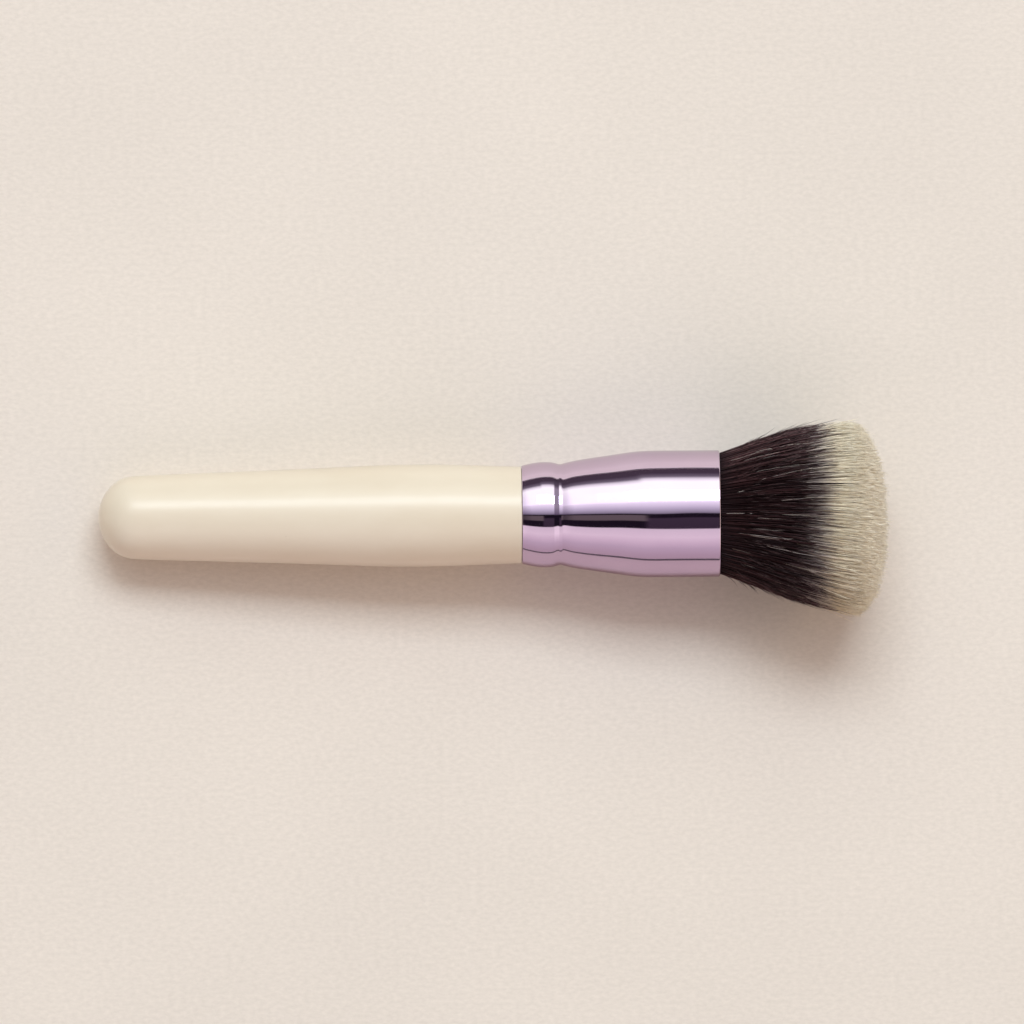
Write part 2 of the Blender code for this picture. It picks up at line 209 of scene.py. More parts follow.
# The first and the second tone or roughness
LACQUER_TONES = ((0.80, 0.69, 0.545), (0.85, 0.75, 0.61))
METAL_TONES = ((0.735, 0.60, 0.79), (0.77, 0.64, 0.83))
RESIN_TONES = ((0.48, 0.32, 0.12), (0.66, 0.48, 0.22))
PAPER_TONES = ((0.782, 0.705, 0.632), (0.856, 0.774, 0.697))
PAPER_CLOUD_TONES = ((0.965, 0.965, 0.965), (1.0, 1.0, 1.0))
LACQUER_ROUGHNESS = (0.30, 0.40)
METAL_ROUGHNESS = (0.035, 0.09)
RESIN_ROUGHNESS = (0.25, 0.45)
SPECK_TONE = (0.42, 0.33, 0.23)
SPECK_SHARE = 0.6
# Bumps: each one's strength and depth
PEEL_BUMP = (0.06, 0.0004)
DRAWN_BUMP = (0.03, 0.00003)
PAPER_BUMP = (0.15, 0.0002)
# What is the same all over a material, by the names that the shader gives it
LACQUER_LOOK = {
    "Specular IOR Level": 0.2,
    "Coat Weight": 0.62,
    "Coat Roughness": 0.28,
    "Coat IOR": 1.42,
}
METAL_LOOK = {"Metallic": 1.0}
PAPER_LOOK = {"Roughness": 0.9, "Specular IOR Level": 0.1}
TABLE_LOOK = {"Roughness": 0.9}
# The creams of the light fibres, darkest first; the first is the olive of the hairs that are a
# painted shadow between the strands, which the pale inner fibres take paler
CREAMS = (
    (0.38, 0.29, 0.15),
    (0.88, 0.74, 0.51),
    (0.95, 0.83, 0.61),
    (0.985, 0.885, 0.68),
    (0.995, 0.93, 0.78),
)
# The kinds of fibre. The root has its tone, a painted shade, and the part of the length over which
# that ends, the tip its paler tone, partly painted light in the fine ends, where that starts and its
# share at the end, and the strokes along a fibre, painted shadow between the strands, their tone,
# their share and how much of that is left at the tip. The sheen is its weight and its roughness
FIBRES = {
    "dark_brown_fibre": {
        "tones": (
            (0.004, 0.0015, 0.002),
            (0.011, 0.004, 0.005),
            (0.048, 0.019, 0.021),
            (0.17, 0.088, 0.092),
        ),
        "root": ((0.012, 0.005, 0.0065), (0.0, 0.15)),
        "tip": ((0.20, 0.145, 0.148), 0.76, 0.85),
        "shadow_stroke": ((0.003, 0.001, 0.002), 0.8, 1.0),
        "roughness": (0.3, 0.45),
        "shine": 0.2,
        "tint": (1.0, 0.72, 0.76),
        "sheen": (0.0, 0.5),
    },
    "cream_fibre": {
        "tones": CREAMS,
        "root": ((0.44, 0.375, 0.365), (0.70, 0.88)),
        "tip": ((0.998, 0.95, 0.82), 0.82, 0.75),
        "shadow_stroke": ((0.46, 0.37, 0.23), 0.8, 0.6),
        "roughness": (0.45, 0.6),
        "shine": 0.25,
        "tint": (1.0, 0.87, 0.70),
        "sheen": (1.0, 0.5),
    },
    "pale_inner_fibre": {
        "tones": ((0.80, 0.68, 0.46), *CREAMS[2:]),
        "root": ((0.66, 0.57, 0.50), (0.60, 0.80)),
        "tip": ((0.998, 0.93, 0.79), 0.80, 0.9),
        "shadow_stroke": ((0.74, 0.63, 0.46), 0.6, 0.5),
        "roughness": (0.45, 0.6),
        "shine": 0.25,
        "tint": (1.0, 0.88, 0.73),
        "sheen": (1.0, 0.3),
    },
}
# Where along a fibre its painted shadow strokes start to fade
SHADOW_STROKE_FADE_START = 0.88

# The head: how it flares from the mouth to its widest place, how far it leans, and its round end
HEAD_CURVE_SHARE = 0.9
HEAD_START_POWER = 1.12
WIDEST_SHARE = 0.85
HEAD_LEAN = 0.0014
TIP_DOME_SHARE = 0.263
TIP_EDGE_SHARE = 0.985
TIP_POWER = 2.3

# Every fibre: its sides, its root in the ferrule, its tip, how its thickness varies, its waves over
# the length of the head, and how many times its bend is larger than they are
STRAND_SIDES = 3
ROOT_DEPTH = 0.002
TIP_HAIR_RADIUS = 0.00002
THICKNESS_RANGE = (0.8, 1.15)
HAIR_WAVES = 3
BEND_TO_WAVE = 5
# The fibres whose tips stand off from the others, and the few that stand off further
FRIZZ_SHARE = 0.26
FRIZZ = 0.0006
STRAY_SHARE = 0.015
STRAY_TIMES = 3.5
# How the fibres stand on the head, how many are worked on at a time, and the edge of each one's bake
# cell with the height of its root in it
GOLDEN_ANGLE = math.pi * (3 - math.sqrt(5))
SHARE_JITTER = 0.004
ANGLE_JITTER = 0.01
HAIRS_AT_ONCE = 1000
BAKE_MARGIN = 0.06
ROOT_CAP_HEIGHT = 0.02

# The dark fibres: their rings as shares of the head's radius, and where a fibre's own rings stand
# along it, with its root inside the ferrule first
DARK_RINGS = (("dark_fibre_skin", 0.90, 0.995), ("dark_fibre_bed", 0.66, 0.90))
DARK_STEPS = (-1, 0.0, 0.2, 0.4, 0.6, 0.8, 0.9, 1.0)
DARK_HAIRS = 4900
DARK_TUFTS = 700
DARK_HAIR_RADIUS = 0.0001
DARK_TAPER = 0.5
DARK_PULL = 0.15
DARK_SINK = 0.03
DARK_WANDER = 0.0003
# How far they reach out of the mouth: by chance, less at the two sides of the picture, more a little
# above its middle, and some of them much less
DARK_LENGTH = 0.0203
DARK_CLUMP_SPREAD = 0.0007
DARK_HAIR_SPREAD = 0.0031
SIDE_SHORTER = 0.0006
LONGER = 0.0018
LONGER_PLACE = 0.3
LONGER_WIDTH = 0.45
SHORT_SHARE = 0.35
SHORTEST = 0.3
SHORT_FRIZZ = 0.0016
# Their tones: the share that a tuft has in common, the share of painted light that the place on the
# head gives, and the places across the head where the painted light on the upper side and the
# painted sheen at the lower edge, both browner, start, with their widths
DARK_TUFT_TONE = 0.15
DARK_PAINTED_LIGHT_TONE = 0.25
PAINTED_LIGHT_UPPER = (0.3, 0.5)
PAINTED_SHEEN_LOWER = (0.75, 0.2)

# The light fibres: their rings in the same way, and whether each lies inside the head
LIGHT_RINGS = (
    ("light_fibre_core", 0.0, 0.55, True),
    ("light_fibre_inner", 0.55, 0.75, True),
    ("light_fibre_middle", 0.75, 0.88, True),
    ("light_fibre_outer", 0.88, 0.945, False),
    ("light_fibre_outside", 0.945, 0.995, False),
)
LIGHT_STEPS = (-1, 0.0, 0.3, 0.5, 0.64, 0.76, 0.87, 0.96, 1.0)
LIGHT_HAIRS = 4300
LIGHT_TUFTS = 1300
LIGHT_HAIR_SPREAD = 0.0004
LIGHT_WANDER = 0.0002
# Those inside and those on the outside: each one's radius, where along its length it starts to
# taper, how far it leans to its tuft, and how much shorter it is cut
INSIDE_FORM = (0.00011, 0.95, 0.04, 0.0003)
OUTSIDE_FORM = (0.00007, 0.89, 0.1, 0.0)
# How deep they lie under the dark ones, the part of the way out over which they come up to the
# surface, and the few that do so earlier
LIGHT_SINK = 0.13
LIGHT_SINK_LEAST = 0.75
RISE_START = 0.29
RISE_END = 0.98
EARLY_RISE = (0.65, 0.90)
EARLY_SHARE = 0.10
# Their tones in the same way, with painted light on the upper side, how many are olive, a painted
# shadow between the strands, and how far the others keep from that
LIGHT_TUFT_TONE = 0.2
LIGHT_PAINTED_LIGHT_TONE = 0.4
PAINTED_LIGHT_START = -0.1
SHADOW_HAIR_SHARE = 0.09
SHADOW_HAIR_GAP = 0.25

# The pale fibres that show between the dark ones: each one's places across the head where it comes
# up and where it ends, and how far out of the mouth those are
STREAKS = (
    (0.935, 0.908, 0.0089, 0.0138),
    (0.85, 0.817, 0.0071, 0.0188),
    (0.46, 0.605, 0.0083, 0.0267),
    (0.17, 0.224, 0.0120, 0.0220),
    (0.30, 0.34, 0.0021, 0.0045),
    (0.0, 0.0, 0.0004, 0.0060),
    (-0.01, 0.01, 0.0114, 0.0225),
    (-0.05, -0.06, 0.0186, 0.0230),
    (-0.30, -0.30, 0.0033, 0.0134),
    (-0.43, -0.46, 0.0095, 0.0188),
    (-0.554, -0.574, 0.0026, 0.0070),
    (-0.60, -0.64, 0.0120, 0.0190),
    (-0.74, -0.765, 0.0032, 0.0090),
    (-0.76, -0.82, 0.0150, 0.0184),
    (-0.82, -0.876, 0.0184, 0.0217),
)
# The finer ones, which are left to chance: how many and how thin, their lengths as shares of the
# head's, and their tones
FINE_STREAKS = 34
FINE_STREAK_SHARE = 0.7
FINE_STREAK_LENGTHS = (0.1, 0.3)
FINE_STREAK_TONES = (0.2, 0.8)
# Each one's shape, how soon and how deep its ends go under, and how it dips between its dashes
STREAK_PIECES = 22
STREAK_STEPS = (-1, *(step / STREAK_PIECES for step in range(STREAK_PIECES + 1)))
STREAK_RADIUS = 0.000048
STREAK_TAPER = 0.6
STREAK_PLACE = 0.985
STREAK_FADE = 0.0035
STREAK_SINK = 0.12
DASH_LENGTH = 0.0052
DASH_DEPTH = 0.008

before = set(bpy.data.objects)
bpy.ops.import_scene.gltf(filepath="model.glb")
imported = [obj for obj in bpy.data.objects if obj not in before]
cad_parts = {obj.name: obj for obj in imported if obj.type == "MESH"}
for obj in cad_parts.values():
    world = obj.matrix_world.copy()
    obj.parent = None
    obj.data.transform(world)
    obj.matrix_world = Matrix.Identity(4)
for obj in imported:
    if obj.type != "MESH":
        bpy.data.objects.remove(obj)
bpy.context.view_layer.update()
chance = np.random.default_rng(SEED)


def node_points(name):
    """The corners of a CAD node."""
    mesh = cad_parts[name].data
    flat = np.empty(len(mesh.vertices) * 3)
    mesh.vertices.foreach_get("co", flat)
    return flat.reshape(-1, 3)


def measure_brush():
    """The butt of the handle, and the directions along the brush, across it and up from it."""
    points = np.unique(node_points("handle").round(POINT_DECIMALS), axis=0)
    middle = points.mean(axis=0)
    along = np.linalg.svd(points - middle, full_matrices=False)[2][0]
    along = along * np.sign(along[0])
    across = np.cross((0.0, 0.0, 1.0), along)
    across = across / np.linalg.norm(across)
    up = np.cross(along, across)
    butt = middle + along * ((points - middle) @ along).min()
    return butt, np.array([along, across, up])


BUTT, BRUSH_AXES = measure_brush()


def to_brush(points):
    return (np.asarray(points) - BUTT) @ BRUSH_AXES.T


def to_world(points):
    return BUTT + np.asarray(points) @ BRUSH_AXES


def stations_of(name):
    """The rings of a turned node as (place, widest radius, narrowest radius)."""
    local = to_brush(node_points(name))
    local = local[np.argsort(local[:, 0])]
    radii = np.hypot(local[:, 1], local[:, 2])
    breaks = np.flatnonzero(np.diff(local[:, 0]) > SAME_PLACE) + 1
    places = np.split(local[:, 0], breaks)
    rings = np.split(radii, breaks)
    return [(p.mean(), r.max(), r.min()) for p, r in zip(places, rings)]


def softened(points, from_axis):
    """An outline through evenly spaced points, without the corners that the CAD's rings leave."""
    points = np.asarray(points)
    gaps = np.linalg.norm(np.diff(points, axis=0), axis=1)
    lengths = np.concatenate([[0], np.cumsum(gaps)])
    even = np.linspace(0, lengths[-1], round(lengths[-1] / OUTLINE_STEP) + 1)
    curve = np.stack([np.interp(even, lengths, points[:, i]) for i in (0, 1)], axis=-1)
    width = round(SOFTNESS_REACH * OUTLINE_SOFTNESS / OUTLINE_STEP)
    weights = np.exp(-((np.arange(-width, width + 1) * OUTLINE_STEP / OUTLINE_SOFTNESS) ** 2) / 2)
    before = curve[width:0:-1]
    before = before * (1, -1) if from_axis else 2 * curve[0] - before
    padded = np.vstack([before, curve, 2 * curve[-1] - curve[-2 : -width - 2 : -1]])
    weights = weights / weights.sum()
    return np.stack([np.convolve(padded[:, i], weights, "valid") for i in (0, 1)], axis=-1)


def rounded_corner(start, end, centre):
    """The points of a quarter turn from start to end round centre."""
    first, last = np.subtract(start, centre), np.subtract(end, centre)
    turns = [math.pi / 2 * step / CORNER_STEPS for step in range(CORNER_STEPS + 1)]
    return [tuple(centre + first * math.cos(turn) + last * math.sin(turn)) for turn in turns]


def new_piece(name, vertices, counts, corners, material, replaced):
    """A mesh piece in the row frame, from flat lists of its faces' corners, riding on the brush."""
    mesh = bpy.data.meshes.new(name)
    mesh.vertices.add(len(vertices))
    mesh.vertices.foreach_set("co", np.asarray(vertices, np.float32).ravel())
    mesh.loops.add(len(corners))
    mesh.loops.foreach_set("vertex_index", np.asarray(corners, np.int32))
    mesh.polygons.add(len(counts))
    starts = np.concatenate([[0], np.cumsum(counts)[:-1]])
    mesh.polygons.foreach_set("loop_start", starts.astype(np.int32))
    mesh.update(calc_edges=True)
    mesh.shade_smooth()
    mesh.materials.append(material)
    piece = bpy.data.objects.new(name, mesh)
    bpy.context.scene.collection.objects.link(piece)
    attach(piece, "root")
    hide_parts(replaced)
    return piece


def add_map(mesh, places):
    layer = mesh.uv_layers.new(name="OFBake")
    layer.uv.foreach_set("vector", np.asarray(places, np.float32).ravel())


def waviness(places, angles, height):
    """The slight unevenness that a drawn surface keeps, as waves that close on themselves."""
    wave = np.zeros(np.broadcast(places, angles).shape)
    for lobes, length in WAVES:
        phase = chance.uniform(0, 2 * math.pi, 2)
        round_it = np.sin(lobes * angles + phase[0])
        wave += round_it * np.sin(2 * math.pi * places / length + phase[1])
    return wave * height


def turned_piece(name, outline, closed, wave_height, material, replaced):
    """The surface that an outline of (place, radius) points sweeps round the brush's axis."""
    outline = np.asarray(outline)
    count = len(outline)
    turns = 2 * math.pi * np.arange(TURNED_SIDES) / TURNED_SIDES
    places, angles = np.broadcast_arrays(outline[:, :1], turns[None, :])
    radii = outline[:, 1:] + waviness(places, angles, wave_height) * (outline[:, 1:] > 0)
    local = np.stack([places, radii * np.cos(angles), radii * np.sin(angles)], axis=-1)
    rings = count if closed else count - 1
    ring, side = np.meshgrid(np.arange(rings), np.arange(TURNED_SIDES), indexing="ij")
    after_ring, after_side = (ring + 1) % count, (side + 1) % TURNED_SIDES
    quads = np.stack(
        [
            ring * TURNED_SIDES + side,
            ring * TURNED_SIDES + after_side,
            after_ring * TURNED_SIDES + after_side,
            after_ring * TURNED_SIDES + side,
        ],
        axis=-1,
    ).reshape(-1, 4)
    steps = np.linalg.norm(np.diff(np.vstack([outline, outline[:1]]), axis=0), axis=1)
    lengths = np.concatenate([[0], np.cumsum(steps)]) / steps[:rings].sum()
    low, high = lengths[ring], lengths[ring + 1]
    left, right = side / TURNED_SIDES, (side + 1) / TURNED_SIDES
    uv = np.stack([left, low, right, low, right, high, left, high], axis=-1).reshape(-1, 2)
    counts = np.full(len(quads), 4)
    world = to_world(local.reshape(-1, 3))
    piece = new_piece(name, world, counts, quads.ravel(), material, replaced)
    add_map(piece.data, uv)
    return piece


def handle_outline():
    """The handle's outside through the CAD's own rings, its shoulder and its tenon."""
    stations = stations_of("handle")
    steps = [i for i, (_, wide, narrow) in enumerate(stations) if wide - narrow > SAME_PLACE]
    shoulder, inner = stations[steps[0]][0] + HANDLE_REACH, stations[steps[0]][2]
    outside = [(place, wide) for place, wide, _ in stations[: steps[0]]]
    outside.append((shoulder - SHOULDER_ROUND, outside[-1][1]))
    curve = softened(outside, True)
    curve[0, 1] = 0.0
    place, radius = curve[-1]
    corner = (place, radius - SHOULDER_ROUND)
    turn = rounded_corner((place, radius), (shoulder, radius - SHOULDER_ROUND), corner)
    tenon = [(shoulder, inner)]
    for place, wide, _ in stations[steps[0] + 1 :]:
        tenon.append((place, wide))
    tenon.append((stations[-1][0], 0.0))
    return [tuple(point) for point in curve] + turn[1:] + tenon


def collar_outline(curve, crimp):
    """The collar's places and radii by its slopes, met with the outline at both of its ends."""
    offsets, slopes = np.transpose(COLLAR_SLOPES)
    dense = np.arange(max(crimp + offsets[0], curve[0, 0]), crimp + offsets[-1], COLLAR_STEP)
    slope = np.interp(dense - crimp, offsets, slopes)
    risen = np.concatenate([[0], np.cumsum((slope[1:] + slope[:-1]) / 2 * np.diff(dense))])
    first, last = np.interp((dense[0], dense[-1]), curve[:, 0], curve[:, 1])
    share = (dense - dense[0]) / (dense[-1] - dense[0])
    return dense, first + risen + (last - first - risen[-1]) * share


def ferrule_outline():
    """The ferrule's outside with its collar and rims made fine, and its bore."""
    stations = stations_of("ferrule")
    back, mouth = stations[0][0], stations[-1][0]
    crimp = back + (mouth - back) * CRIMP_PLACE_SHARE
    wall = stations[WALL_RING][1] - stations[WALL_RING][2]
    outside = [(back, stations[1][1])]
    for place, wide, narrow in stations[2:]:
        if place < mouth - 2 * LIP_ROUND:
            only_bore = wide - narrow < SAME_PLACE
            outside.append((place, wide + wall if only_bore else wide))
    outside.append((mouth, outside[-1][1]))
    curve = softened(outside, False)
    dense, collar = collar_outline(curve, crimp)
    beyond = curve[:, 0] > dense[-1] + COLLAR_STEP
    places = np.concatenate([dense, curve[beyond, 0]])
    radii = np.concatenate([collar, curve[beyond, 1]])
    bore = [(place, radius - wall) for place, radius in zip(places[::-1], radii[::-1])]
    bore = [bore[0]] + bore[1:-1:BORE_STEP] + [bore[-1]]
    body = [p for p in zip(places, radii) if back + RIM_ROUND < p[0] < mouth - LIP_ROUND]
    first, last = np.interp((back + RIM_ROUND, mouth - LIP_ROUND), places, radii)
    rim_centre = (back + RIM_ROUND, first - RIM_ROUND)
    rim = rounded_corner((back, first - RIM_ROUND), (back + RIM_ROUND, first), rim_centre)
    lip_centre = (mouth - LIP_ROUND, last - LIP_ROUND)
    lip = rounded_corner((mouth - LIP_ROUND, last), (mouth, last - LIP_ROUND), lip_centre)
    return rim + body + lip + bore


def node(tree, kind, **settings):
    made = tree.nodes.new(kind)
    for name, value in settings.items():
        setattr(made, name, value)
    return made


def object_places(tree):
    return node(tree, "ShaderNodeTexCoord").outputs["Object"]


def pattern(tree, scales, detail, roughness):
    """Noise that repeats as often in a metre as scales say, along each of the object's axes."""
    mapping = node(tree, "ShaderNodeMapping")
    mapping.inputs["Scale"].default_value = scales
    tree.links.new(object_places(tree), mapping.inputs["Vector"])
    made = node(tree, "ShaderNodeTexNoise")
    made.inputs["Scale"].default_value = 1.0
    made.inputs["Detail"].default_value = detail
    made.inputs["Roughness"].default_value = roughness
    tree.links.new(mapping.outputs["Vector"], made.inputs["Vector"])
    return made.outputs["Fac"]


def ramp(tree, value, stops):
    made = node(tree, "ShaderNodeValToRGB")
    elements = made.color_ramp.elements
    while len(elements) < len(stops):
        elements.new(1.0)
    for element, (place, colour) in zip(elements, stops):
        element.position = place
        element.color = (*colour, 1.0)
    tree.links.new(value, made.inputs["Fac"])
    return made.outputs["Color"]


def to_range(tree, value, low, high, new_low, new_high):
    made = node(tree, "ShaderNodeMapRange")
    made.inputs["From Min"].default_value = low
    made.inputs["From Max"].default_value = high
    made.inputs["To Min"].default_value = new_low
    made.inputs["To Max"].default_value = new_high
    tree.links.new(value, made.inputs["Value"])
    return made.outputs["Result"]


def blended(tree, factor, first, second, how="MIX"):
    made = node(tree, "ShaderNodeMix", data_type="RGBA", blend_type=how)
    if isinstance(factor, float):
        made.inputs["Factor"].default_value = factor
    else:
        tree.links.new(factor, made.inputs["Factor"])
    for socket, colour in (("A", first), ("B", second)):
        place = next(i for i in made.inputs if i.name == socket and i.type == "RGBA")
        if isinstance(colour, tuple):
            place.default_value = (*colour, 1.0)
        else:
            tree.links.new(colour, place)
    return next(o for o in made.outputs if o.type == "RGBA")


def bumped(tree, shader, height, strength, distance):
    made = node(tree, "ShaderNodeBump")
    made.inputs["Strength"].default_value = strength
    made.inputs["Distance"].default_value = distance
    tree.links.new(height, made.inputs["Height"])
    tree.links.new(made.outputs["Normal"], shader.inputs["Normal"])


def new_material(name, look):
    """A material, its tree and its shader, which has the values that look gives it."""
    material = bpy.data.materials.new(name)
    material.use_nodes = True
    shader = material.node_tree.nodes["Principled BSDF"]
    for socket, value in look.items():
        shader.inputs[socket].default_value = value
    return material, material.node_tree, shader


def coloured(tree, shader, colour):
    tree.links.new(colour, shader.inputs["Base Color"])


def roughened(tree, shader, value, turn, roughness):
    """The shader's roughness, which goes from the first to the second as the value turns."""
    tree.links.new(to_range(tree, value, *turn, *roughness), shader.inputs["Roughness"])


def two_tones(tree, value, turn, tones):
    return ramp(tree, value, tuple(zip(turn, tones)))


def pearl_lacquer():
    """Cream lacquer with a faint pearl mottle, fine orange peel and a few specks."""
    material, tree, shader = new_material("cream_pearl_lacquer", LACQUER_LOOK)
    cloud = two_tones(tree, pattern(tree, *LACQUER_MOTTLE), TURN, LACQUER_TONES)
    speck = to_range(tree, pattern(tree, *LACQUER_SPECKS), *SPECK_TURN, 0.0, SPECK_SHARE)
    coloured(tree, shader, blended(tree, speck, cloud, SPECK_TONE))
    roughened(tree, shader, pattern(tree, *LACQUER_FLOW), TURN, LACQUER_ROUGHNESS)
    bumped(tree, shader, pattern(tree, *LACQUER_PEEL), *PEEL_BUMP)
    return material


def anodised_metal():
    """Lilac anodised aluminium, polished, with faint marks from the drawing and from use."""
    material, tree, shader = new_material("lilac_anodised_metal", METAL_LOOK)
    coloured(tree, shader, two_tones(tree, pattern(tree, *METAL_CLOUD), TURN, METAL_TONES))
    drawn = pattern(tree, *METAL_DRAWN)
    roughened(tree, shader, drawn, DRAWN_TURN, METAL_ROUGHNESS)
    bumped(tree, shader, drawn, *DRAWN_BUMP)
    return material


def cast_resin():
    material, tree, shader = new_material("amber_cast_resin", {})
    swirl = pattern(tree, *RESIN_SWIRL)
    coloured(tree, shader, two_tones(tree, swirl, TURN, RESIN_TONES))
    roughened(tree, shader, swirl, TURN, RESIN_ROUGHNESS)
    return material


def fibre_material(name, tones, root, tip, shadow_stroke, roughness, shine, tint, sheen):
    """Fibres that differ from each other in colour, with painted shade at the root, painted shadow
    strokes along them and a tip that is partly painted light.
    """
    look = {
        "Specular IOR Level": shine,
        "Specular Tint": (*tint, 1.0),
        "Sheen Weight": sheen[0],
        "Sheen Roughness": sheen[1],
        "Sheen Tint": (*tint, 1.0),
    }
    material, tree, shader = new_material(name, look)
    root_shade_tone, root_reach = root
    tip_tone, tip_start, tip_share = tip
    shadow_stroke_tone, shadow_stroke_share, shadow_stroke_at_tip = shadow_stroke
    shade = node(tree, "ShaderNodeAttribute", attribute_name="shade").outputs["Fac"]
    reach = node(tree, "ShaderNodeAttribute", attribute_name="reach").outputs["Fac"]
    places = [i / (len(tones) - 1) for i in range(len(tones))]
    own = ramp(tree, shade, tuple(zip(places, tones)))
    grain = pattern(tree, *FIBRE_GRAIN)
    # A paler tip, partly painted light in the fine ends
    near_tip = to_range(tree, reach, tip_start, 1.0, 0.0, tip_share)
    tipped = blended(tree, near_tip, own, tip_tone)
    # Painted shadow strokes between the strands, fading towards the tip
    shadow_strokes = to_range(tree, grain, *SHADOW_STROKE_TURN, 0.0, shadow_stroke_share)
    kept = to_range(tree, reach, SHADOW_STROKE_FADE_START, 1.0, 1.0, shadow_stroke_at_tip)
    faded = node(tree, "ShaderNodeMath", operation="MULTIPLY")
    tree.links.new(shadow_strokes, faded.inputs[0])
    tree.links.new(kept, faded.inputs[1])
    shadow_streaked = blended(tree, faded.outputs[0], tipped, shadow_stroke_tone)
    # Painted shade towards the root
    shaded_near_root = to_range(tree, reach, *root_reach, 1.0, 0.0)
    coloured(tree, shader, blended(tree, shaded_near_root, shadow_streaked, root_shade_tone))
    roughened(tree, shader, grain, TURN, roughness)
    return material


def sunflower(count, inner, outer):
    """Places spread evenly over a ring, as (share of the radius, angle), a little uneven."""
    order = np.arange(count) + 0.5
    share = np.sqrt(inner**2 + (outer**2 - inner**2) * order / count)
    angle = order * GOLDEN_ANGLE
    share = share + chance.normal(0, SHARE_JITTER, count)
    angle = angle + chance.normal(0, ANGLE_JITTER, count)
    return np.clip(share, 0, outer), angle


def on_disc(share, angle):
    return np.stack([share * np.cos(angle), share * np.sin(angle)], axis=-1)


def nearest_clump(share, angle, clumps):
    """For each hair, the clump that it leans to."""
    hairs, tufts = on_disc(share, angle), on_disc(*clumps)
    found = np.empty(len(hairs), int)
    for start in range(0, len(hairs), HAIRS_AT_ONCE):
        part = hairs[start : start + HAIRS_AT_ONCE]
        gaps = ((part[:, None, :] - tufts[None, :, :]) ** 2).sum(axis=-1)
        found[start : start + HAIRS_AT_ONCE] = gaps.argmin(axis=1)
    return found


ferrule_rings = stations_of("ferrule")
MOUTH_X = ferrule_rings[-1][0]
BORE_RADIUS = ferrule_rings[-1][2]
light_points = to_brush(node_points("light_fibres"))
FIBRES_OUT = light_points[:, 0].max() - MOUTH_X
HEAD_RADIUS = light_points[:, 2].max()
WIDEST_OUT = FIBRES_OUT * WIDEST_SHARE


def flare(out):
    """The head's radius at a distance out from the mouth."""
    share = np.clip(out / WIDEST_OUT, 0, 1) ** HEAD_START_POWER
    grown = share * (1 + HEAD_CURVE_SHARE * (1 - share))
    return BORE_RADIUS + (HEAD_RADIUS - BORE_RADIUS) * grown


def tip_distance(share):
    """How far fibres reach out of the mouth, under the rounded end of the head."""
    dome = FIBRES_OUT * TIP_DOME_SHARE
    level = (1 - (share * TIP_EDGE_SHARE) ** TIP_POWER) ** (1 / TIP_POWER)
    return FIBRES_OUT - dome * (1 - level)


def hair_paths(share, angle, length, clumps, sink, rise_end, frizz, form):
    """The middles of each hair's rings, in the brush frame, as hairs by rings by three numbers.

    The form holds where the rings stand, how far hairs lean to their tufts and how far they wander.
    """
    steps, pull, wander = form
    which = nearest_clump(share, angle, clumps)
    reach = np.asarray(steps)[None, :]
    along = np.clip(reach, 0, None)
    out = np.where(reach < 0, -ROOT_DEPTH, length[:, None] * along)
    spread = np.clip(out / WIDEST_OUT, 0, None)
    risen = np.clip((spread - RISE_START) / (rise_end[:, None] - RISE_START), 0, 1)
    risen = risen**2 * (3 - 2 * risen)
    height = flare(out) * (1 - sink[:, None] * (1 - risen))
    radius = share[:, None] * height + frizz[:, None] * along**4
    tuft_radius = clumps[0][which][:, None] * height
    tuft_angle = clumps[1][which][:, None]
    across, up = radius * np.cos(angle[:, None]), radius * np.sin(angle[:, None])
    drawn_in = pull * along**2
    across = across + drawn_in * (tuft_radius * np.cos(tuft_angle) - across)
    up = up + drawn_in * (tuft_radius * np.sin(tuft_angle) - up)
    bend = chance.normal(0, wander, (2, len(share), 1)) * along**2
    phase = chance.uniform(0, 2 * math.pi, (2, len(share), 1))
    wave = np.sin(phase + 2 * math.pi * out / (FIBRES_OUT / HAIR_WAVES)) * wander / BEND_TO_WAVE
    wave = wave * along
    across = across + bend[0] + wave[0] - HEAD_LEAN * spread**2
    up = up + bend[1] + wave[1]
    return np.stack([MOUTH_X + out, across, up], axis=-1)


def frizz_of(count):
    """How far each hair's tip stands off from the others: not at all, for most."""
    stands = chance.uniform(0, 1, count) < FRIZZ_SHARE
    stray = chance.uniform(0, 1, count) < STRAY_SHARE
    far = np.where(stray, STRAY_TIMES, 1)
    return np.where(stands | stray, chance.uniform(0, FRIZZ, count) * far, 0)


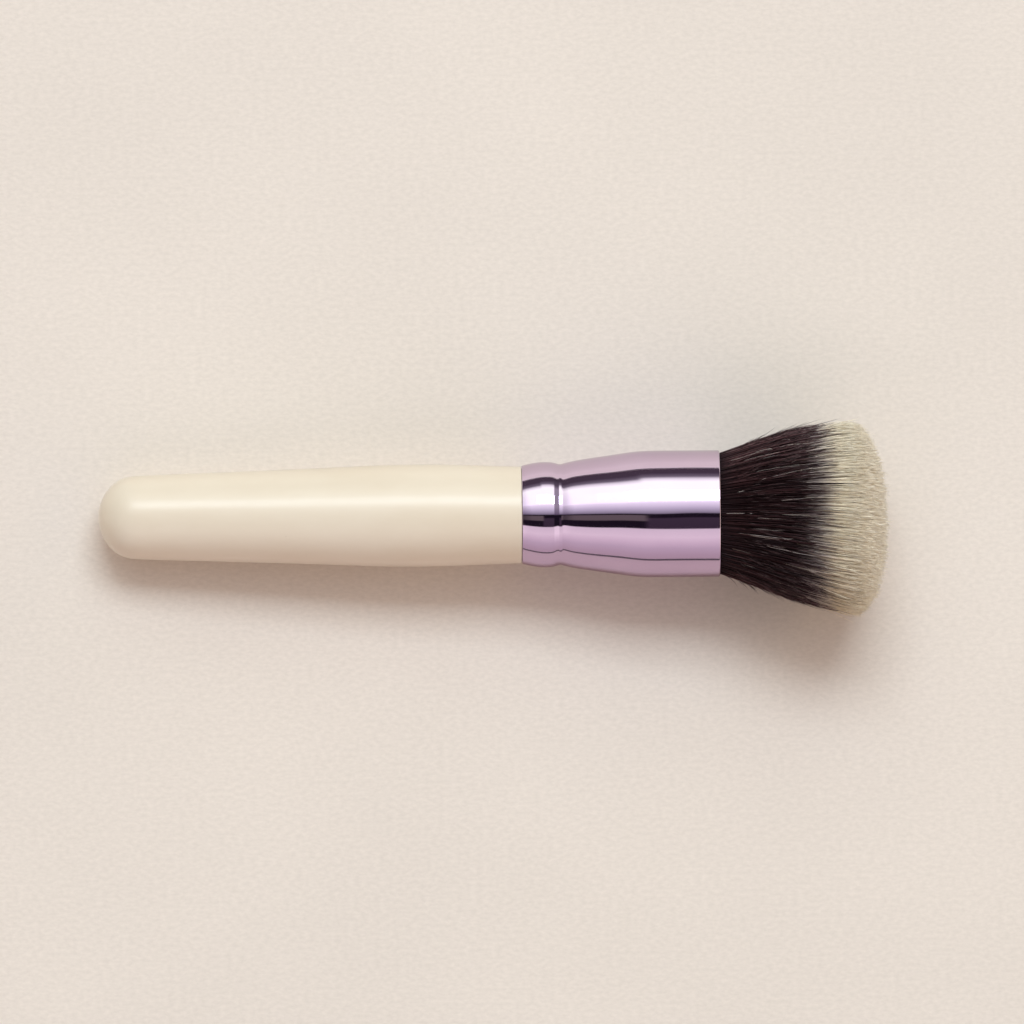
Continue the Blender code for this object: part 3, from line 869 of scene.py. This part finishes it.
def hair_piece(name, paths, radii, shade, steps, material, replaced):
    """Closed tapering strands round the paths, with a bake map that gives each a cell of its own."""
    hairs, rings = paths.shape[:2]
    turn = chance.uniform(0, 2 * math.pi, hairs)
    angles = turn[:, None] + 2 * math.pi * np.arange(STRAND_SIDES)[None, :] / STRAND_SIDES
    offsets = np.stack([np.zeros_like(angles), np.cos(angles), np.sin(angles)], axis=-1)
    above = to_world(paths)
    above[..., 2] = np.maximum(above[..., 2], radii)
    paths = to_brush(above)
    body = paths[:, :-1, None, :] + radii[:, :-1, None, None] * offsets[:, None, :, :]
    per_hair = (rings - 1) * STRAND_SIDES + 1
    points = np.concatenate([body.reshape(hairs, -1, 3), paths[:, -1:, :]], axis=1)
    quads, quad_uv = [], []
    for ring in range(rings - 2):
        for side in range(STRAND_SIDES):
            after = (side + 1) % STRAND_SIDES
            near, far = ring * STRAND_SIDES, (ring + 1) * STRAND_SIDES
            quads.append((near + side, near + after, far + after, far + side))
            left, right = side / STRAND_SIDES, (side + 1) / STRAND_SIDES
            low, high = ring / (rings - 1), (ring + 1) / (rings - 1)
            quad_uv += [(left, low), (right, low), (right, high), (left, high)]
    tris, tri_uv = [], []
    last = (rings - 2) * STRAND_SIDES
    top = (rings - 2) / (rings - 1)
    for side in range(STRAND_SIDES):
        after = (side + 1) % STRAND_SIDES
        tris.append((last + side, last + after, per_hair - 1))
        left, right = side / STRAND_SIDES, (side + 1) / STRAND_SIDES
        tri_uv += [(left, top), (right, top), ((left + right) / 2, 1.0)]
    tris.append(tuple(range(STRAND_SIDES))[::-1])
    tri_uv += [(0.0, ROOT_CAP_HEIGHT), (0.5, 0.0), (1.0, ROOT_CAP_HEIGHT)]
    base = (np.arange(hairs) * per_hair)[:, None]
    quad_corners = np.asarray(quads).ravel()[None, :] + base
    tri_corners = np.asarray(tris).ravel()[None, :] + base
    corners = np.concatenate([quad_corners, tri_corners], axis=1)
    counts = np.tile([4] * len(quads) + [3] * len(tris), hairs)
    piece = new_piece(
        name,
        to_world(points.reshape(-1, 3)),
        counts,
        corners.ravel(),
        material,
        replaced,
    )
    cells = math.ceil(math.sqrt(hairs))
    cell = np.stack([np.arange(hairs) % cells, np.arange(hairs) // cells], axis=-1)
    inside = BAKE_MARGIN + (1 - 2 * BAKE_MARGIN) * np.asarray(quad_uv + tri_uv)
    add_map(piece.data, (cell[:, None, :] + inside[None, :, :]) / cells)
    ring_reach = np.repeat(np.clip(np.asarray(steps[:-1]), 0, 1), STRAND_SIDES)
    reach = np.tile(np.append(ring_reach, 1.0), hairs)
    for label, values in (("shade", np.repeat(shade, per_hair)), ("reach", reach)):
        layer = piece.data.attributes.new(label, "FLOAT", "POINT")
        layer.data.foreach_set("value", values.astype(np.float32))
    return piece


def tapered(count, steps, full, start_share):
    """The radius at each ring: full up to a share of the length, then down to a fine tip."""
    reach = np.clip(np.asarray(steps), 0, 1)
    fall = np.clip((reach - start_share) / (1 - start_share), 0, 1)
    radius = full + (TIP_HAIR_RADIUS - full) * fall
    return np.tile(radius, (count, 1)) * chance.uniform(*THICKNESS_RANGE, (count, 1))


def mixed_shade(clumps, which, clump_share):
    """Each hair's own tone, partly that of the tuft it stands in."""
    tone = chance.uniform(0, 1, len(clumps[0]))
    own = chance.uniform(0, 1, len(which))
    return clump_share * tone[which] + (1 - clump_share) * own


def dark_shade(share, angle, clumps, which):
    """Tones of the dark fibres, with painted light that makes them browner on the upper side and
    painted sheen that does so at the lower edge.
    """
    across = share * np.cos(angle)
    # Painted light on the upper side and painted sheen at the lower edge
    lit_upper = np.clip((across - PAINTED_LIGHT_UPPER[0]) / PAINTED_LIGHT_UPPER[1], 0, 1)
    edge_sheen = np.clip((-across - PAINTED_SHEEN_LOWER[0]) / PAINTED_SHEEN_LOWER[1], 0, 1)
    own = mixed_shade(clumps, which, DARK_TUFT_TONE)
    return own * (1 - DARK_PAINTED_LIGHT_TONE) + DARK_PAINTED_LIGHT_TONE * np.maximum(lit_upper, edge_sheen)


def light_shade(share, angle, clumps, which):
    """Tones of the light fibres, with painted light that makes them paler on the upper side, and
    with the olive ones, a painted shadow between the strands, at 0.
    """
    # Painted light: paler towards the upper side
    lit_upper = np.clip(share * np.cos(angle) - PAINTED_LIGHT_START, 0, 1)
    own = mixed_shade(clumps, which, LIGHT_TUFT_TONE)
    tone = own * (1 - LIGHT_PAINTED_LIGHT_TONE) + LIGHT_PAINTED_LIGHT_TONE * lit_upper
    # Some fibres take the olive tone, a painted shadow between the strands
    shadow_hairs = chance.uniform(0, 1, len(which)) < SHADOW_HAIR_SHARE
    return np.where(shadow_hairs, 0, SHADOW_HAIR_GAP + (1 - SHADOW_HAIR_GAP) * tone)


def build_dark_hairs(material):
    """The dark fibres, some of them short, and the longest a little above the middle."""
    for name, inner, outer in DARK_RINGS:
        share, angle = sunflower(DARK_HAIRS, inner, outer)
        clumps = sunflower(DARK_TUFTS, inner, outer)
        tuft = chance.normal(0, DARK_CLUMP_SPREAD, DARK_TUFTS)
        which = nearest_clump(share, angle, clumps)
        own = chance.normal(0, DARK_HAIR_SPREAD, DARK_HAIRS)
        length = DARK_LENGTH + tuft[which] + own
        length = length - SIDE_SHORTER * np.abs(np.cos(angle)) ** 3
        middle = np.exp(-(((np.cos(angle) - LONGER_PLACE) / LONGER_WIDTH) ** 2))
        length = length + LONGER * middle
        short = chance.uniform(0, 1, DARK_HAIRS) < SHORT_SHARE
        length = np.where(short, length * chance.uniform(SHORTEST, 1, DARK_HAIRS), length)
        sink = chance.uniform(0, DARK_SINK, DARK_HAIRS)
        rise = np.ones(DARK_HAIRS)
        frizz = frizz_of(DARK_HAIRS) + short * chance.uniform(0, SHORT_FRIZZ, DARK_HAIRS)
        form = (DARK_STEPS, DARK_PULL, DARK_WANDER)
        paths = hair_paths(share, angle, length, clumps, sink, rise, frizz, form)
        radii = tapered(DARK_HAIRS, DARK_STEPS, DARK_HAIR_RADIUS, DARK_TAPER)
        shade = dark_shade(share, angle, clumps, which)
        hair_piece(name, paths, radii, shade, DARK_STEPS, material, "dark_fibres")


def build_light_hairs(inside_material, outside_material):
    """The light fibres, which lie under the dark ones and come up to the surface past them."""
    for name, inner, outer, inside in LIGHT_RINGS:
        material = inside_material if inside else outside_material
        full, taper, pull, shorter = INSIDE_FORM if inside else OUTSIDE_FORM
        share, angle = sunflower(LIGHT_HAIRS, inner, outer)
        clumps = sunflower(LIGHT_TUFTS, inner, outer)
        which = nearest_clump(share, angle, clumps)
        tuft = chance.normal(0, LIGHT_HAIR_SPREAD, LIGHT_TUFTS)
        own = chance.normal(0, LIGHT_HAIR_SPREAD, LIGHT_HAIRS)
        length = tip_distance(share) + tuft[which] + own - shorter
        sink = LIGHT_SINK * chance.uniform(LIGHT_SINK_LEAST, 1, LIGHT_HAIRS)
        early = chance.uniform(0, 1, LIGHT_HAIRS) < EARLY_SHARE
        rise = np.where(early, chance.uniform(*EARLY_RISE, LIGHT_HAIRS), RISE_END)
        frizz = frizz_of(LIGHT_HAIRS)
        form = (LIGHT_STEPS, pull, LIGHT_WANDER)
        paths = hair_paths(share, angle, length, clumps, sink, rise, frizz, form)
        radii = tapered(LIGHT_HAIRS, LIGHT_STEPS, full, taper)
        shade = light_shade(share, angle, clumps, which)
        hair_piece(name, paths, radii, shade, LIGHT_STEPS, material, "light_fibres")


def build_streaks(material):
    """The long pale fibres that come up between the dark ones for a part of their way."""
    across_first, across_last, first, last = (np.array(column) for column in zip(*STREAKS))
    named = len(first)
    starts = chance.uniform(0, FIBRES_OUT / 2, FINE_STREAKS)
    first = np.append(first, starts)
    reach = chance.uniform(*FINE_STREAK_LENGTHS, FINE_STREAKS) * FIBRES_OUT
    last = np.append(last, starts + reach)
    others = chance.uniform(0, 2 * math.pi, FINE_STREAKS)
    angle = np.append(np.arccos(across_first), others)
    angle_last = np.append(np.arccos(across_last), others)
    count = len(angle)
    share = np.full(count, STREAK_PLACE)
    length = tip_distance(share) - np.abs(chance.normal(0, LIGHT_HAIR_SPREAD, count))
    none, rise = np.zeros(count), np.ones(count)
    form = (STREAK_STEPS, 0.0, LIGHT_WANDER)
    paths = hair_paths(share, angle, length, (share, angle), none, rise, none, form)
    out = paths[:, :, 0] - MOUTH_X
    done = np.clip((out - first[:, None]) / (last - first)[:, None], 0, 1)
    turn = (angle_last - angle)[:, None] * done
    across, up = paths[:, :, 1].copy(), paths[:, :, 2].copy()
    paths[:, :, 1] = across * np.cos(turn) - up * np.sin(turn)
    paths[:, :, 2] = across * np.sin(turn) + up * np.cos(turn)
    before = np.clip((first[:, None] - out) / STREAK_FADE, 0, 1)
    after = np.clip((out - last[:, None]) / STREAK_FADE, 0, 1)
    phase = chance.uniform(0, 2 * math.pi, (count, 1))
    dashes = DASH_DEPTH * (1 + np.sin(2 * math.pi * out / DASH_LENGTH + phase)) / 2
    paths[:, :, 1:] *= 1 - (STREAK_SINK * (before + after) + dashes)[:, :, None]
    radii = tapered(count, STREAK_STEPS, STREAK_RADIUS, STREAK_TAPER)
    radii[named:] *= FINE_STREAK_SHARE
    shade = np.append(np.full(named, 1.0), chance.uniform(*FINE_STREAK_TONES, FINE_STREAKS))
    name = "light_fibre_streaks"
    hair_piece(name, paths, radii, shade, STREAK_STEPS, material, "light_fibres")


def flat_sheet(name, corners, height, material):
    mesh = bpy.data.meshes.new(name)
    mesh.from_pydata([(x, y, height) for x, y in corners], [], [(0, 1, 2, 3)])
    mesh.materials.append(material)
    sheet = bpy.data.objects.new(name, mesh)
    bpy.context.scene.collection.objects.link(sheet)
    return sheet


def build_floor():
    """A pale paper floor that lies under the brush."""
    material, tree, shader = new_material("pale_paper", PAPER_LOOK)
    grain = pattern(tree, *PAPER_GRAIN)
    paper = two_tones(tree, grain, TURN, PAPER_TONES)
    cloud = two_tones(tree, pattern(tree, *PAPER_CLOUD), CLOUD_TURN, PAPER_CLOUD_TONES)
    coloured(tree, shader, blended(tree, 1.0, paper, cloud, "MULTIPLY"))
    bumped(tree, shader, grain, *PAPER_BUMP)
    half = FLOOR_HALF_SIZE
    corners = [(-half, -half), (half, -half), (half, half), (-half, half)]
    floor = flat_sheet("paper_floor", corners, 0.0, material)


def table_part(name, first, last, tones):
    """A strip of table or of painted shade on the floor, between two places across the picture, that
    only reflections show.
    """
    material, tree, shader = new_material(name, TABLE_LOOK)
    parts = node(tree, "ShaderNodeSeparateXYZ")
    tree.links.new(object_places(tree), parts.inputs["Vector"])
    place = to_range(tree, parts.outputs["Y"], first, last, 0.0, 1.0)
    coloured(tree, shader, two_tones(tree, place, (0.0, 1.0), tones))
    half = TABLE_HALF_LENGTH
    corners = [(-half, first), (half, first), (half, last), (-half, last)]
    strip = flat_sheet(name, corners, TABLE_HEIGHT, material)
    strip.visible_camera = False
    strip.visible_diffuse = False
    strip.visible_shadow = False


def room_ramp(tree, place, stops):
    """Colours by place, where a place of 0 is the first stop and a place of 1 the last."""
    low, high = stops[0][0], stops[-1][0]
    return ramp(tree, place, tuple(((at - low) / (high - low), colour) for at, colour in stops))


def build_world():
    """A room of soft bands, as the ferrule shows it."""
    world = bpy.data.worlds.new("studio")
    bpy.context.scene.world = world
    world.use_nodes = True
    tree = world.node_tree
    way = node(tree, "ShaderNodeTexCoord").outputs["Generated"]
    parts = node(tree, "ShaderNodeSeparateXYZ")
    tree.links.new(way, parts.inputs["Vector"])
    angle = node(tree, "ShaderNodeMath", operation="ARCTAN2")
    tree.links.new(parts.outputs["Y"], angle.inputs[0])
    tree.links.new(parts.outputs["Z"], angle.inputs[1])
    quarter = math.pi / 2
    place = to_range(tree, angle.outputs[0], -quarter, quarter, 0.0, 1.0)
    bands = room_ramp(tree, place, ROOM_BANDS)
    patched = room_ramp(tree, place, PATCHED_BANDS)
    dim = room_ramp(tree, place, DIM_BANDS)
    for other, start, end, share in (
        (patched, PATCH_START, PATCH_END, 1.0),
        (dim, DIM_START, DIM_END, 1.0),
        (dim, SOFT_START, SOFT_END, SOFT_SHARE),
    ):
        part = to_range(tree, parts.outputs["X"], start, end, 0.0, share)
        bands = blended(tree, part, bands, other)
    along = to_range(tree, parts.outputs["X"], -1.0, 1.0, 0.0, 1.0)
    ends = room_ramp(tree, along, ROOM_ENDS)
    sideways = node(tree, "ShaderNodeMath", operation="ABSOLUTE")
    tree.links.new(parts.outputs["X"], sideways.inputs[0])
    far = to_range(tree, sideways.outputs[0], ENDS_START, ENDS_FULL, 0.0, 1.0)
    room = blended(tree, far, bands, ends)
    tree.links.new(room, tree.nodes["Background"].inputs["Color"])


def build_lamp():
    """One large soft lamp over the upper side of the picture."""
    data = bpy.data.lights.new("key_window", "AREA")
    data.shape = "RECTANGLE"
    data.size = 2 * LAMP_DISTANCE * math.tan(math.radians(LAMP_HALF_WIDTH))
    data.size_y = 2 * LAMP_DISTANCE * math.tan(math.radians(LAMP_HALF_HEIGHT))
    data.energy = LAMP_WATTS
    data.color = LAMP_COLOUR
    lamp = bpy.data.objects.new("key_window", data)
    down, aside = math.radians(LAMP_FROM_ZENITH), math.radians(LAMP_TOWARDS_TIPS)
    level = math.cos(aside)
    way = Vector((math.sin(aside), level * math.sin(down), level * math.cos(down)))
    lamp.location = way * LAMP_DISTANCE
    lamp.rotation_euler = way.to_track_quat("Z", "Y").to_euler()
    lamp.visible_camera = False
    bpy.context.scene.collection.objects.link(lamp)


def build_camera():
    """The photograph's view: square to the brush but for a small tilt, with the rim in its place."""
    data = bpy.data.cameras.new("view")
    data.lens = LENS_MM
    data.sensor_width = SENSOR_MM
    data.clip_start = CLIP_START
    data.clip_end = CLIP_END
    along, across, up = (Vector(axis) for axis in BRUSH_AXES)
    level = along * math.cos(VIEW_TILT) + up * math.sin(VIEW_TILT)
    right = level * math.cos(VIEW_ROLL) - across * math.sin(VIEW_ROLL)
    upward = level * math.sin(VIEW_ROLL) + across * math.cos(VIEW_ROLL)
    back = right.cross(upward)
    pixel = PICTURE_WIDTH / PICTURE_PIXELS
    half = PICTURE_PIXELS / 2
    rim = Vector(to_world((ferrule_rings[0][0], 0.0, 0.0)))
    centre = rim - right * (RIM_PIXEL[0] - half) * pixel + upward * (RIM_PIXEL[1] - half) * pixel
    distance = PICTURE_WIDTH * LENS_MM / SENSOR_MM
    camera = bpy.data.objects.new("view", data)
    turn = Matrix((right, upward, back)).transposed().to_4x4()
    camera.matrix_world = Matrix.Translation(centre + back * distance) @ turn
    bpy.context.scene.collection.objects.link(camera)
    bpy.context.scene.camera = camera


def build_brush():
    """The brush's own pieces, and the material of the one that stays as its CAD node."""
    turned_piece(
        "lacquered_handle",
        handle_outline(),
        False,
        0.0,
        pearl_lacquer(),
        "handle",
    )
    turned_piece(
        "drawn_ferrule",
        ferrule_outline(),
        True,
        WAVE_HEIGHT,
        anodised_metal(),
        "ferrule",
    )
    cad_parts["resin_plug"].material_slots[0].material = cast_resin()
    dark, light, pale = (fibre_material(name, **values) for name, values in FIBRES.items())
    build_dark_hairs(dark)
    build_light_hairs(pale, light)
    build_streaks(light)


build_camera()
build_world()
build_lamp()
build_floor()
# Partly a darker table and partly a painted shade of the floor near the brush, seen only in
# reflections
table_part("table_and_floor_shade", -TABLE_EDGE_NEAR, -TABLE_NEAR, TABLE_AND_SHADE_TONES)
table_part("table_edge", -TABLE_EDGE_FAR, -TABLE_EDGE_NEAR, EDGE_TONES)
# The brush's painted shade on the floor, seen only in reflections
table_part("table_shade", SHADE_NEAR, SHADE_FAR, SHADE_TONES)
table_part("table_far_edge", TABLE_UPPER_NEAR, TABLE_EDGE_FAR, EDGE_TONES)
build_brush()
bpy.context.scene.view_settings.view_transform = "Standard"
